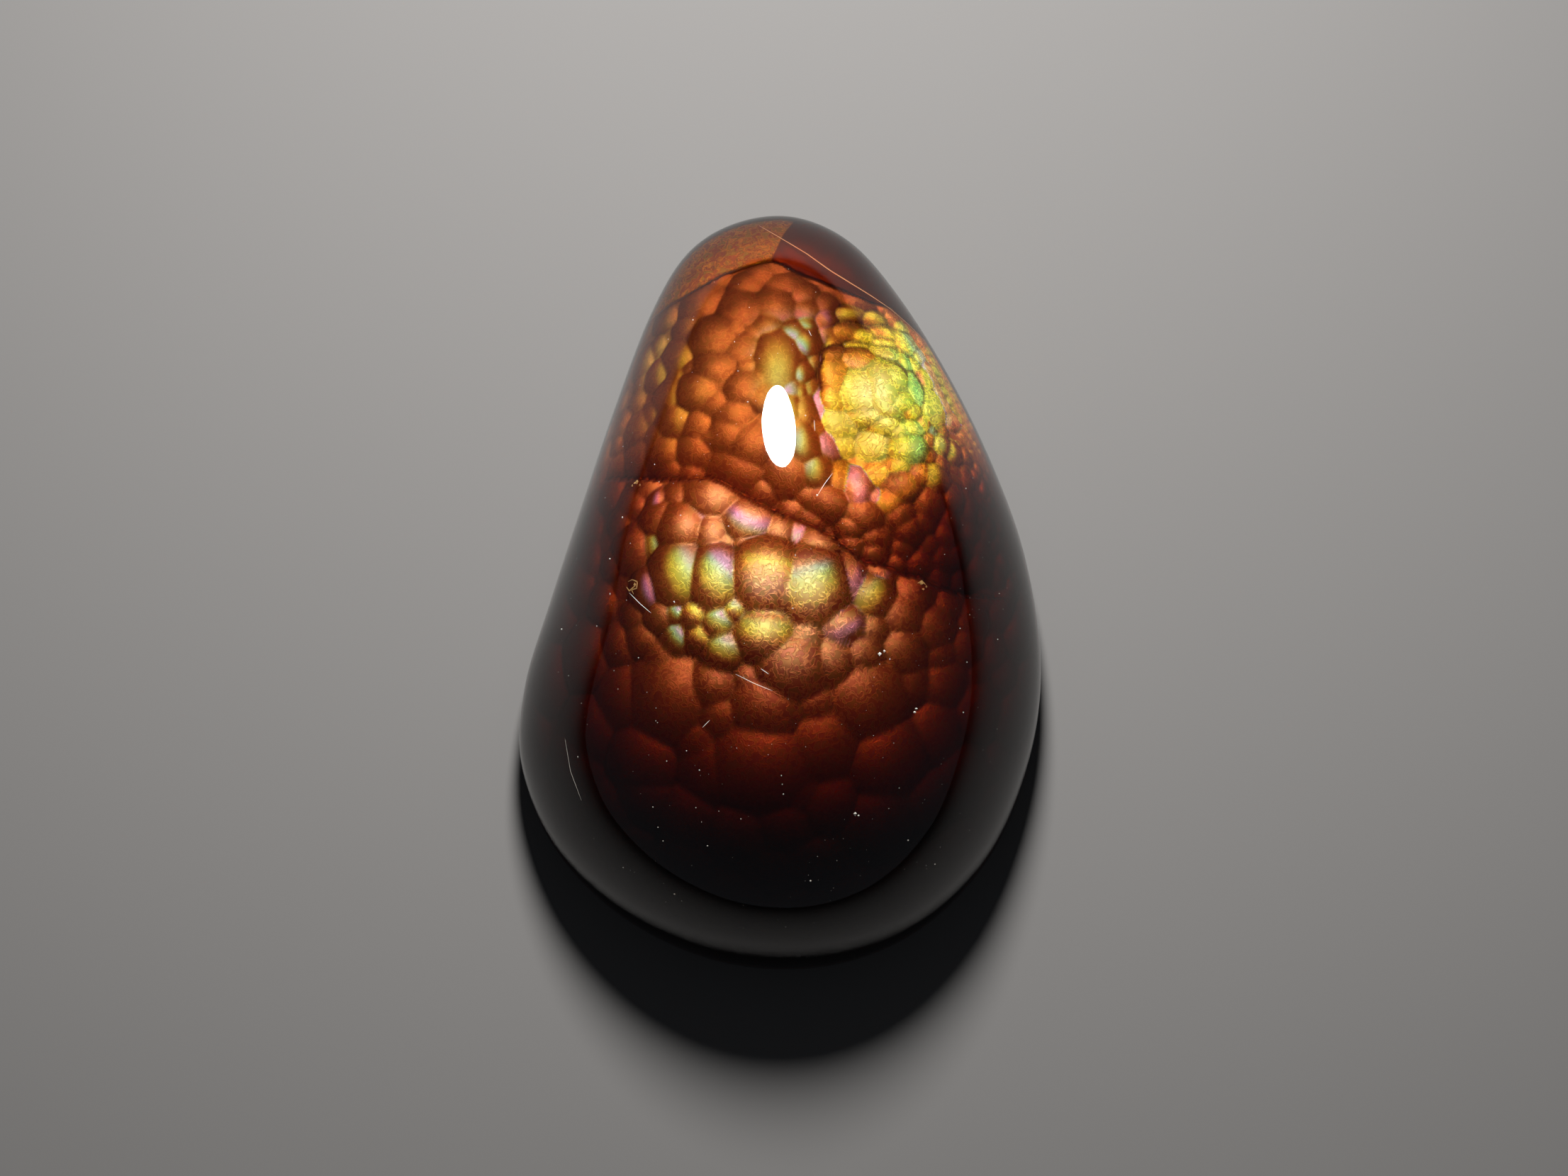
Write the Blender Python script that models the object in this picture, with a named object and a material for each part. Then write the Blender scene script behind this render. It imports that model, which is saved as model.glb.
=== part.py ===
"""A polished fire agate: a teardrop cabochon with a high dome above and a flat ground back.

Units are metres, +Z is up, and the narrow tip points along +Y. The origin is the middle of the
stone's bounding box, on the flat back that it rests on. The stone grew as one piece and was cut
as one piece, so it is one solid. The lumpy fire layer lies under the polish and is not raised.
"""

import math

import bmesh
import bpy

MM = 0.001

# The girdle, the stone's widest line as seen from above, in millimetres. The points run from the
# tip anticlockwise, and a smooth closed curve passes through them.
GIRDLE_POINTS = [
    (0.30, 10.49),
    (-1.30, 10.29),
    (-2.62, 9.43),
    (-3.62, 7.75),
    (-4.60, 5.20),
    (-5.50, 2.55),
    (-6.40, -0.20),
    (-7.12, -2.60),
    (-7.20, -4.80),
    (-6.25, -7.15),
    (-4.30, -9.08),
    (-1.65, -10.27),
    (1.20, -10.40),
    (3.75, -9.45),
    (5.75, -7.45),
    (6.90, -4.75),
    (7.25, -2.05),
    (6.85, 0.85),
    (5.97, 3.42),
    (4.68, 6.07),
    (3.18, 8.42),
    (1.85, 9.85),
]

# Heights above the flat back, in millimetres
DOME_HEIGHT = 7.6
GIRDLE_HEIGHT = 1.3

# The dome's summit as seen from above, in millimetres
SUMMIT = (0.0, -1.85)

# The dome rises as (1 - r * r) ** DOME_POWER, where r runs from 0 at the summit to 1 at the girdle
DOME_POWER = 0.56

# The egg that the contours tend to near the summit: its mean radius, how much longer it is on the
# side of the tip, and how much narrower it is across than along, all in millimetres
EGG_RADIUS = 8.6
EGG_TIPWARD = 1.4
EGG_NARROWING = 1.6

# Under the girdle the side turns in towards the flat back, by this share of the stone's width
BACK_INSET = 0.06
BACK_TURN = math.radians(70)

# Facets of the solid
DOME_RINGS = 20
SIDE_RINGS = 4

# The look of the plain solid: red-brown, polished
BROWN = (0.115, 0.022, 0.007, 1.0)
POLISH_ROUGHNESS = 0.06


def clear_scene():
    for obj in list(bpy.data.objects):
        bpy.data.objects.remove(obj, do_unlink=True)


def smooth_closed_curve(points, turn):
    """The point at the share turn, from 0 to 1, of the closed Catmull-Rom curve through points."""
    place = turn % 1.0 * len(points)
    first = int(place) % len(points)
    t = place - int(place)
    before, start, end, after = (points[(first + k) % len(points)] for k in (-1, 0, 1, 2))
    return [
        0.5
        * (
            2 * b
            + (c - a) * t
            + (2 * a - 5 * b + 4 * c - d) * t**2
            + (3 * b - a - 3 * c + d) * t**3
        )
        for a, b, c, d in zip(before, start, end, after)
    ]


def girdle_middle():
    """The middle of the girdle's bounding box, which becomes the origin."""
    count = 8 * DOME_RINGS
    line = [smooth_closed_curve(GIRDLE_POINTS, k / count) for k in range(count)]
    return [(min(axis) + max(axis)) / 2 for axis in zip(*line)]


def contour_radius(out, bearing, girdle_radius):
    """The distance from the summit to a contour, for out from 0 there to 1 at the girdle.

    The small contours near the summit are eggs, and the wide ones take on the girdle's shape.
    """
    egg = EGG_RADIUS + EGG_TIPWARD * math.sin(bearing) - EGG_NARROWING * math.cos(2 * bearing)
    return out * (egg + out * out * (girdle_radius - egg))


def dome_profile(fall):
    """(share of the way out, height) for fall from 0 at the summit to 90 degrees at the girdle."""
    rise = max(math.cos(fall), 0.0) ** (2 * DOME_POWER)
    return math.sin(fall), GIRDLE_HEIGHT + (DOME_HEIGHT - GIRDLE_HEIGHT) * rise


def side_profile(share):
    """(share of the way out, height) for share from 0 at the girdle to 1 at the flat back."""
    turn = share * BACK_TURN
    inset = BACK_INSET * (1 - math.cos(turn)) / (1 - math.cos(BACK_TURN))
    return 1 - inset, GIRDLE_HEIGHT * (1 - math.sin(turn) / math.sin(BACK_TURN))


def round_the_square(x, y):
    """Moves a point of the square from -1 to 1 onto the unit disc, each square ring to a circle."""
    radius = max(abs(x), abs(y))
    if radius == 0:
        return 0.0, 0.0
    if abs(x) >= abs(y):
        angle = math.pi / 4 * y / x + (math.pi if x < 0 else 0.0)
    else:
        angle = math.pi / 2 - math.pi / 4 * x / y + (math.pi if y < 0 else 0.0)
    return radius * math.cos(angle), radius * math.sin(angle)


def disc_with_skirt():
    """A flat disc of radius 1, meshed as a rounded square grid, with a skirt of height 1."""
    bm = bmesh.new()
    cells = 2 * DOME_RINGS
    bmesh.ops.create_grid(bm, x_segments=cells, y_segments=cells, size=1.0)
    for vert in bm.verts:
        vert.co.xy = round_the_square(vert.co.x, vert.co.y)
    for _ in range(SIDE_RINGS):
        rim = [e for e in bm.edges if e.is_boundary]
        made = bmesh.ops.extrude_edge_only(bm, edges=rim)["geom"]
        for vert in [v for v in made if isinstance(v, bmesh.types.BMVert)]:
            vert.co.z -= 1 / SIDE_RINGS
    return bm


def shape_to_stone(bm):
    """Moves the disc's points onto the dome, and the skirt's points onto the side below it."""
    middle = girdle_middle()
    for vert in bm.verts:
        angle = math.atan2(vert.co.y, vert.co.x)
        edge = smooth_closed_curve(GIRDLE_POINTS, angle / math.tau - 0.25)
        across, along = (e - m - s for e, m, s in zip(edge, middle, SUMMIT))
        bearing = math.atan2(along, across)
        girdle_radius = math.hypot(across, along)
        if vert.co.z < 0:
            out, height = side_profile(-vert.co.z)
            radius = out * girdle_radius
        else:
            out, height = dome_profile(min(vert.co.xy.length, 1.0) * math.pi / 2)
            radius = contour_radius(out, bearing, girdle_radius)
        x = SUMMIT[0] + radius * math.cos(bearing)
        y = SUMMIT[1] + radius * math.sin(bearing)
        vert.co = (x * MM, y * MM, max(height, 0.0) * MM)


def close_flat_back(bm):
    """One flat face across the open underside."""
    rim = [e for e in bm.edges if e.is_boundary]
    bmesh.ops.holes_fill(bm, edges=rim, sides=0)
    bmesh.ops.recalc_face_normals(bm, faces=bm.faces)


def agate_material():
    material = bpy.data.materials.new("polished_agate")
    material.use_nodes = True
    shader = material.node_tree.nodes["Principled BSDF"]
    shader.inputs["Base Color"].default_value = BROWN
    shader.inputs["Roughness"].default_value = POLISH_ROUGHNESS
    shader.inputs["Metallic"].default_value = 0.0
    material.diffuse_color = BROWN
    return material


def make_stone(collection):
    bm = disc_with_skirt()
    shape_to_stone(bm)
    close_flat_back(bm)
    mesh = bpy.data.meshes.new("fire_agate")
    bm.to_mesh(mesh)
    bm.free()
    mesh.shade_smooth()
    mesh.set_sharp_from_angle(angle=math.radians(20))
    mesh.materials.append(agate_material())
    stone = bpy.data.objects.new("fire_agate", mesh)
    collection.objects.link(stone)
    return stone


def main():
    clear_scene()
    collection = bpy.data.collections.new("Fire agate")
    bpy.context.scene.collection.children.link(collection)
    make_stone(collection)


main()
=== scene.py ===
# %% [markdown]
# # A polished fire agate
#
# A fire agate is a piece of brown chalcedony. Under its clear skin lies a layer of tiny bubbles
# coated with iron oxide, thinner than a wavelength of light, which shines copper, gold and green.
# The cutter grinds the skin down until it just covers that layer, and polishes it to a dome.
#
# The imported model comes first. It is the frame that every piece here is fitted to.

# %% The frame
import math

import bpy
import numpy as np
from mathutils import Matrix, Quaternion, Vector


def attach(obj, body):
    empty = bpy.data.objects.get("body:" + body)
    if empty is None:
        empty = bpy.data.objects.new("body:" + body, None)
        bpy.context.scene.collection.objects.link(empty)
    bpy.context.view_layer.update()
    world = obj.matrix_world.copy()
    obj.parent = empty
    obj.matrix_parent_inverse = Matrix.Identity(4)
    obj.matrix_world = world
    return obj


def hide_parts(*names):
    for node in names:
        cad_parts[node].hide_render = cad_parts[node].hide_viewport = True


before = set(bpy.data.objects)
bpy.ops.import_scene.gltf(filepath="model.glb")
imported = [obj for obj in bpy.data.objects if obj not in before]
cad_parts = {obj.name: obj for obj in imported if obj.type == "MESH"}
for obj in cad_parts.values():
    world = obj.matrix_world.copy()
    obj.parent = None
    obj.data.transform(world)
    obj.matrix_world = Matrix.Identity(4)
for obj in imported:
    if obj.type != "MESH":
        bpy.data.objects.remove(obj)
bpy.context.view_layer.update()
MM = 0.001

# %% [markdown]
# ## The stone's own shape
#
# The outline and the dome are the same as in the solid: a smooth closed curve through listed
# points, and a dome that rises from it. They are needed as functions of the place, because the
# layer is found by looking straight down through the dome at every point.

# %% Outline of the girdle
GIRDLE_POINTS = np.array([
    (0.30, 10.49), (-1.30, 10.29), (-2.62, 9.43), (-3.62, 7.75), (-4.60, 5.20), (-5.50, 2.55),
    (-6.40, -0.20), (-7.12, -2.60), (-7.20, -4.80), (-6.25, -7.15), (-4.30, -9.08),
    (-1.65, -10.27), (1.20, -10.40), (3.75, -9.45), (5.75, -7.45), (6.90, -4.75), (7.25, -2.05),
    (6.85, 0.85), (5.97, 3.42), (4.68, 6.07), (3.18, 8.42), (1.85, 9.85),
])
SUMMIT = np.array((0.0, -1.85))
DOME_HEIGHT = 7.6
GIRDLE_HEIGHT = 1.3
DOME_POWER = 0.56
EGG_RADIUS, EGG_TIPWARD, EGG_NARROWING = 8.6, 1.4, 1.6
BACK_INSET = 0.06
BACK_TURN = math.radians(70)


def girdle_curve(angle):
    """Catmull-Rom: each stretch is a cubic through two points, aimed by their two neighbours."""
    place = (angle / math.tau - 0.25) % 1.0 * len(GIRDLE_POINTS)
    first = np.floor(place).astype(int)
    t = (place - first)[..., None]
    a, b, c, d = (GIRDLE_POINTS[(first + k) % len(GIRDLE_POINTS)] for k in (-1, 0, 1, 2))
    cubic = (3 * b - a - 3 * c + d) * t**3
    return 0.5 * (2 * b + (c - a) * t + (2 * a - 5 * b + 4 * c - d) * t**2 + cubic)


sampled = girdle_curve(np.arange(160) / 160 * math.tau)
GIRDLE_MIDDLE = (sampled.min(0) + sampled.max(0)) / 2


def girdle(angle):
    """The girdle curve, moved so that the middle of its bounding box is the origin."""
    return girdle_curve(angle) - GIRDLE_MIDDLE


spoke = girdle(np.arange(2880) / 2880 * math.tau) - SUMMIT
SPOKE_BEARING, SPOKE_LENGTH = np.arctan2(spoke[:, 1], spoke[:, 0]), np.hypot(*spoke.T)
print("girdle, mm:", np.ptp(sampled, axis=0).round(2))


# %% Height of the dome
def egg_radius(bearing):
    """The mean radius, longer towards the tip, and narrower across than along."""
    return EGG_RADIUS + EGG_TIPWARD * np.sin(bearing) - EGG_NARROWING * np.cos(2 * bearing)


def share_out(x, y):
    """How far out a place lies, 0 at the summit and 1 at the girdle.

    A contour lies at out * (egg + out**2 * (rim - egg)) from the summit. Newton's method turns
    that round: it takes the miss over the slope off the guess, six times.
    """
    across, along = x - SUMMIT[0], y - SUMMIT[1]
    bearing, distance = np.arctan2(along, across), np.hypot(across, along)
    rim = np.interp(bearing, SPOKE_BEARING, SPOKE_LENGTH, period=math.tau)
    egg = egg_radius(bearing)
    out = np.minimum(distance / rim, 1.0)
    for _ in range(6):
        miss = out * (egg + out**2 * (rim - egg)) - distance
        out = np.clip(out - miss / (egg + 3 * out**2 * (rim - egg)), 0.0, 1.0)
    return out


def dome_height(x, y):
    """The girdle's height, plus the dome's rise times (1 - out**2) to the dome's power."""
    rise = (DOME_HEIGHT - GIRDLE_HEIGHT) * (1 - share_out(x, y) ** 2) ** DOME_POWER
    return GIRDLE_HEIGHT + rise


print("summit height, mm:", dome_height(0.0, -1.85).round(3))

# %% [markdown]
# ## Helpers for meshes
#
# The skin and the layer are made from one kind of sheet: a square grid whose square rings are
# rounded into circles. It has no pole, so its faces stay even in the middle. Its rim is one row of
# points, and a side wall and a flat back hang from that row, which makes the mesh closed.


# %% Disc grid, wall and mesh
def disc_grid(rings):
    """(share, angle, faces, rim) of a square grid rounded to a disc.

    The share is the larger of |u| and |v|. The angle runs evenly along each square ring, so it is
    45 degrees times v / u on the left and right quarters, and the same turned round on the others.
    """
    side = np.linspace(-1, 1, 2 * rings + 1)
    u, v = np.meshgrid(side, side, indexing="ij")
    wide = np.abs(u) >= np.abs(v)
    over = np.where(wide, u, v)
    over[rings, rings] = 1
    slant = math.pi / 4 * np.where(wide, v, -u) / over
    angle = slant + np.where(wide, 0, math.pi / 2) + np.where(over < 0, math.pi, 0)
    number = np.arange(side.size**2).reshape(side.size, side.size)
    corners = [number[:-1, :-1], number[1:, :-1], number[1:, 1:], number[:-1, 1:]]
    quarters = [number[-1], number[::-1, -1], number[0, ::-1], number[:, 0]]
    faces = np.stack(corners, axis=-1).reshape(-1, 4)
    rim = np.concatenate([quarter[:-1] for quarter in quarters])
    return np.maximum(np.abs(u), np.abs(v)).ravel(), angle.ravel(), faces, rim


def wall_faces(rings):
    """Faces between each ring of point numbers and the ring below it, facing outwards."""
    above, below = rings[:-1], rings[1:]
    corners = [above, below, np.roll(below, -1, axis=1), np.roll(above, -1, axis=1)]
    return np.stack(corners, axis=-1).reshape(-1, 4)


def closed_mesh(name, top, faces, rim, wall):
    """A mesh of a sheet on top, a wall of rings hanging from its rim, and one flat face below.

    top has the sheet's points, and wall has one array of points for each ring, all in millimetres.
    """
    count, rows = len(rim), len(wall)
    hung = len(top) + np.arange(rows * count).reshape(rows, count)
    sides = wall_faces(np.concatenate([rim[None], hung]))
    mesh = bpy.data.meshes.new(name)
    points = np.concatenate([top, wall.reshape(-1, 3)]) * MM
    mesh.from_pydata(points, [], faces.tolist() + sides.tolist() + [hung[-1, ::-1].tolist()])
    mesh.shade_smooth()
    return mesh


def add_object(name, data):
    """A new object in the scene with this mesh, light or camera."""
    thing = bpy.data.objects.new(name, data)
    bpy.context.scene.collection.objects.link(thing)
    return thing


def piece(mesh, *materials):
    """The mesh as an object of its own that stands for the stone and moves with it."""
    thing = add_object(mesh.name, mesh)
    for material in materials:
        mesh.materials.append(material)
    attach(thing, "root")
    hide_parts("fire_agate")
    mesh.calc_loop_triangles()
    print(thing.name, "has", len(mesh.loop_triangles), "triangles")


# %% Colours and nodes
def colour(code):
    """An sRGB hex value as linear red, green, blue and alpha."""
    parts = [int(code[i : i + 2], 16) / 255 for i in (1, 3, 5)]
    return [p / 12.92 if p <= 0.04045 else ((p + 0.055) / 1.055) ** 2.4 for p in parts] + [1.0]


def node(tree, kind, settings=None, **inputs):
    """Adds a node. settings are its own options. Each input is a value, or a socket to link."""
    made = tree.nodes.new(kind)
    for option, value in (settings or {}).items():
        setattr(made, option, value)
    for socket, value in inputs.items():
        target = made.inputs[int(socket[1:]) if socket[1:].isdigit() else socket.replace("_", " ")]
        if isinstance(value, bpy.types.NodeSocket):
            tree.links.new(value, target)
        else:
            target.default_value = value
    return made


def empty_material(name):
    """A new material, its node tree and its output node, with nothing else in it."""
    material = bpy.data.materials.new(name)
    material.use_nodes = True
    material.node_tree.nodes.clear()
    return material, material.node_tree, node(material.node_tree, "ShaderNodeOutputMaterial")


def principled(tree, out, **inputs):
    """Links a Principled shader with these inputs to the material's surface."""
    shader = node(tree, "ShaderNodeBsdfPrincipled", **inputs)
    tree.links.new(shader.outputs["BSDF"], out.inputs["Surface"])


def matt(name, code, roughness):
    """An even matt material."""
    material, tree, out = empty_material(name)
    principled(tree, out, Base_Color=colour(code), Roughness=roughness, IOR=1.5)
    return material


def ranged(tree, value, low, high, to_low, to_high):
    """The value moved from the range low to high into the range to_low to to_high."""
    return node(
        tree, "ShaderNodeMapRange",
        Value=value, From_Min=low, From_Max=high, To_Min=to_low, To_Max=to_high,
    ).outputs[0]


def mixed(tree, share, first, second):
    """The first colour where the share is 0, and the second where it is 1."""
    mix = node(tree, "ShaderNodeMix", {"data_type": "RGBA"}, _0=share, _6=first, _7=second)
    return mix.outputs[2]


def banded(tree, where, direction, scale, bend, first, second):
    """Soft bands of two colours, which a slow noise bends."""
    bands = node(
        tree, "ShaderNodeTexWave", {"bands_direction": direction}, Vector=where, Scale=scale,
        Distortion=bend, Detail=2.0, Detail_Scale=0.4,
    ).outputs["Fac"]
    return mixed(tree, bands, colour(first), colour(second))


print("copper in linear light:", [round(c, 3) for c in colour("#9A5829")])

# %% [markdown]
# ## The polished skin
#
# The skin is clear brown chalcedony, a kind of quartz too fine to see its crystals. Its refractive
# index is 1.54, and polish makes it smooth as glass. The brown comes from its depth, so it is an
# absorption in the volume and not a paint on the surface: it takes blue out first, then green.

# %% Clear brown chalcedony
CHALCEDONY_IOR = 1.54
# The share of red, green and blue that 1 mm of it lets past
CLEAR_SHARE = np.array((0.95, 0.75, 0.55))


def chalcedony():
    """The absorption per metre is the density times 1 - colour, which gives the shares above."""
    material, tree, out = empty_material("polished_brown_chalcedony")
    principled(
        tree, out,
        Base_Color=(1, 1, 1, 1), Roughness=0.02, IOR=CHALCEDONY_IOR, Transmission_Weight=1.0,
    )
    depth = node(tree, "ShaderNodeVolumeAbsorption", Color=(0.936, 0.64, 0.253, 1), Density=800.0)
    tree.links.new(depth.outputs["Volume"], out.inputs["Volume"])
    return material


# %% [markdown]
# ## The back
#
# A cutter grinds the back flat on a coarse wheel and leaves it matt. The saw and the wheel cut
# across the bands of the chalcedony there, so it shows soft brown bands and a fine grain. The back
# isn't in the photograph. It is a usual one.

# %% Ground back
def ground_back():
    material, tree, out = empty_material("ground_brown_chalcedony")
    where = node(tree, "ShaderNodeTexCoord").outputs["Object"]
    # Bands about 1.6 mm apart
    brown = banded(tree, where, "DIAGONAL", 280.0, 9.0, "#34170D", "#54301C")
    grain = node(tree, "ShaderNodeTexNoise", Vector=where, Scale=9000.0, Detail=2.0).outputs["Fac"]
    value = ranged(tree, grain, 0.3, 0.7, 0.8, 1.25)
    ground = node(tree, "ShaderNodeHueSaturation", Color=brown, Value=value)
    bump = node(tree, "ShaderNodeBump", Height=grain, Distance=0.00001, Strength=0.5)
    # The wheel's fine pits scatter the light, so it has no clear reflection: roughness 0.6.
    principled(
        tree, out, Base_Color=ground.outputs["Color"], Roughness=0.6, IOR=CHALCEDONY_IOR,
        Normal=bump.outputs["Normal"],
    )
    return material


# %% Skin
SKIN_RINGS = 100
SIDE_ROWS = 14


def stone_side(share, angle):
    """The side from the girdle, share 0, to the flat back, share 1: a quarter turn cut short."""
    turn = share * BACK_TURN
    inset = BACK_INSET * (1 - np.cos(turn)) / (1 - math.cos(BACK_TURN))
    height = GIRDLE_HEIGHT * (1 - np.sin(turn) / math.sin(BACK_TURN))
    flat = SUMMIT + (1 - inset)[..., None] * (girdle(angle) - SUMMIT)
    return np.concatenate([flat, height[..., None] + 0 * flat[..., :1]], axis=-1)


def make_skin():
    """Dome, side and flat back in one closed mesh. The back's faces take the second material."""
    share, angle, faces, rim = disc_grid(SKIN_RINGS)
    fall = share * math.pi / 2
    reach = girdle(angle) - SUMMIT
    bearing, length = np.arctan2(reach[:, 1], reach[:, 0]), np.hypot(*reach.T)
    egg = egg_radius(bearing)
    radius = np.sin(fall) * (egg + np.sin(fall) ** 2 * (length - egg))
    rise = (DOME_HEIGHT - GIRDLE_HEIGHT) * np.maximum(np.cos(fall), 0) ** (2 * DOME_POWER)
    top = np.stack([
        SUMMIT[0] + radius * np.cos(bearing),
        SUMMIT[1] + radius * np.sin(bearing),
        GIRDLE_HEIGHT + rise,
    ], axis=-1)
    rows, around = np.meshgrid(np.arange(1, SIDE_ROWS + 1) / SIDE_ROWS, angle[rim], indexing="ij")
    wall = stone_side(rows, around)
    # One narrow flat row inside the back's rim keeps the smooth shading off the flat back.
    inner = wall[-1:] * (0.99, 0.99, 1)
    mesh = closed_mesh("polished_skin", top, faces, rim, np.concatenate([wall, inner]))
    back = np.zeros(len(mesh.polygons), dtype=np.int32)
    back[-1 - rim.size :] = 1
    mesh.polygons.foreach_set("material_index", back)
    return mesh


piece(make_skin(), chalcedony(), ground_back())

# %% [markdown]
# ## Where the layer lies
#
# What the eye sees of the layer is bent by the dome. A line of sight straight down meets the dome
# at x, y and turns towards the stone's middle, by Snell's law. So each point of the layer is put
# where its line of sight ends, and a bubble that is placed at x, y shows at x, y from above.


# %% Lines of sight
# The lamp hangs straight beyond the tip, this high above the horizon.
LAMP_RISE = math.radians(48.5)
TO_LAMP = np.array((0.0, math.cos(LAMP_RISE), math.sin(LAMP_RISE)))


def unit(vectors, least=0.0):
    """The vectors over their lengths. A length below the least one counts as the least one."""
    return vectors / np.maximum(np.linalg.norm(vectors, axis=-1, keepdims=True), least)


def bend_in(ray, normal):
    """Snell's law for a ray that enters the stone: ratio * ray + (ratio * c - root) * normal.

    The ratio is 1 over the index, c is the cosine between the ray and the normal, and root is
    sqrt(1 - ratio**2 * (1 - c**2)).
    """
    ratio = 1 / CHALCEDONY_IOR
    c = np.maximum(-np.sum(ray * normal, axis=-1, keepdims=True), 0)
    return ratio * ray + (ratio * c - np.sqrt(1 - ratio**2 * (1 - c**2))) * normal


def looking_down(x, y):
    """(place on the dome, direction inside the stone, dome normal) at each x, y."""
    step = 0.004
    slope_x = (dome_height(x + step, y) - dome_height(x - step, y)) / (2 * step)
    slope_y = (dome_height(x, y + step) - dome_height(x, y - step)) / (2 * step)
    normal = unit(np.stack([-slope_x, -slope_y, np.ones_like(slope_x)], axis=-1))
    place = np.stack([x, y, dome_height(x, y)], axis=-1)
    return place, bend_in(np.array((0.0, 0.0, -1.0)), normal), normal


def mirror_normal(inside, normal):
    """The normal of a facet in the stone that would mirror the lamp straight to the eye.

    It is halfway between the ways to the eye and to the lamp, both bent by the skin.
    """
    return -unit(inside + bend_in(-TO_LAMP, normal))


def step_up(value, low, high):
    """0 below low and 1 above high, with a smooth S between them."""
    t = np.clip((value - low) / (high - low), 0, 1)
    return t * t * (3 - 2 * t)


def hill(x, y, middle, widths):
    """1 at the middle, falling off as a bell whose widths along x and y are given."""
    return np.exp(-(((x - middle[0]) / widths[0]) ** 2 + ((y - middle[1]) / widths[1]) ** 2))


# The ledge: the sharp valley between the layer's upper and lower swellings
LEDGE = np.array([
    (-6.0, 3.0), (-5.06, 3.08), (-4.41, 3.08), (-2.65, 3.04), (-1.90, 3.08), (-1.53, 2.94),
    (-1.06, 2.66), (-0.60, 2.39), (0.15, 2.05), (0.80, 1.82), (1.45, 1.44), (1.83, 1.16),
    (2.30, 0.79), (2.80, 0.72), (3.25, 0.48), (3.80, 0.38), (4.30, 0.10), (5.00, -0.10),
    (5.80, -0.16), (7.00, -0.20),
])
# The roof line: where the layer ends below the tip, and clear chalcedony begins
ROOF = np.array([
    (-4.30, 7.00), (-3.72, 7.48), (-2.97, 7.99), (-2.51, 8.22), (-1.99, 8.52), (-1.50, 8.78),
    (-1.04, 8.94), (-0.26, 9.13), (0.03, 9.04), (0.52, 8.78), (1.27, 8.49), (1.85, 8.26),
    (2.51, 7.97), (3.06, 7.86), (3.58, 7.40), (4.01, 6.99), (4.60, 6.30),
])


def above_ledge(x, y):
    """How far a place lies above the ledge, in millimetres."""
    return y - np.interp(x, *LEDGE.T)


def over_roof(x, y):
    """1 over the roof line and 0 under it, with a narrow soft edge."""
    return step_up(y - np.interp(x, *ROOF.T), -0.03, 0.03)


def golden_part(x, y):
    """1 in the bright cluster, whose ground is golden brown, and 0 where it is copper."""
    return np.exp(-((((x - 3.2) / 2.0) ** 2 + ((y - 5.2) / 2.7) ** 2) ** 2))


def ledge_part(out):
    """1 where the ledge is sharp, and 0 on the flanks, where it runs out."""
    return 1 - step_up(out, 0.74, 0.92)


# How deep the layer lies, and how much deeper above the ledge, below it, and over the roof line
BASE_DEPTH, UPPER_DROP, LOWER_DROP, ROOF_DROP = 0.58, 0.45, 0.14, 0.50
# The share of the way out to the girdle at which the layer ends
LAYER_EDGE = 0.985


def layer_depth(x, y):
    """How deep under the skin the layer's base lies, in millimetres along the line of sight.

    It drops at the ledge and at the roof line, and it comes close to the skin at its edge. In the
    bright cluster it rises towards the right, which is why that part mirrors the lamp.
    """
    above = above_ledge(x, y)
    out = share_out(x, y)
    upper = UPPER_DROP * np.clip(1 - above / 3.2, 0, 1) ** 2
    lower = LOWER_DROP * np.exp(np.minimum(above, 0) / 0.8)
    ledge = np.where(above > 0, upper, lower) * ledge_part(out)
    rising = golden_part(x, y) * np.maximum(0.42 * (3.5 - x), -0.2)
    depth = BASE_DEPTH + ledge + rising + ROOF_DROP * over_roof(x, y)
    return depth * (1 - 0.66 * step_up(out, 0.82, LAYER_EDGE))


def layer_base(x, y):
    """The layer without its bubbles: the line of sight followed down to the layer's depth."""
    place, inside, _ = looking_down(x, y)
    return place + layer_depth(x, y)[..., None] * inside


print("the layer under the summit, mm:", layer_base(np.array([0.0]), np.array([-1.85])).round(2))
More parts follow.
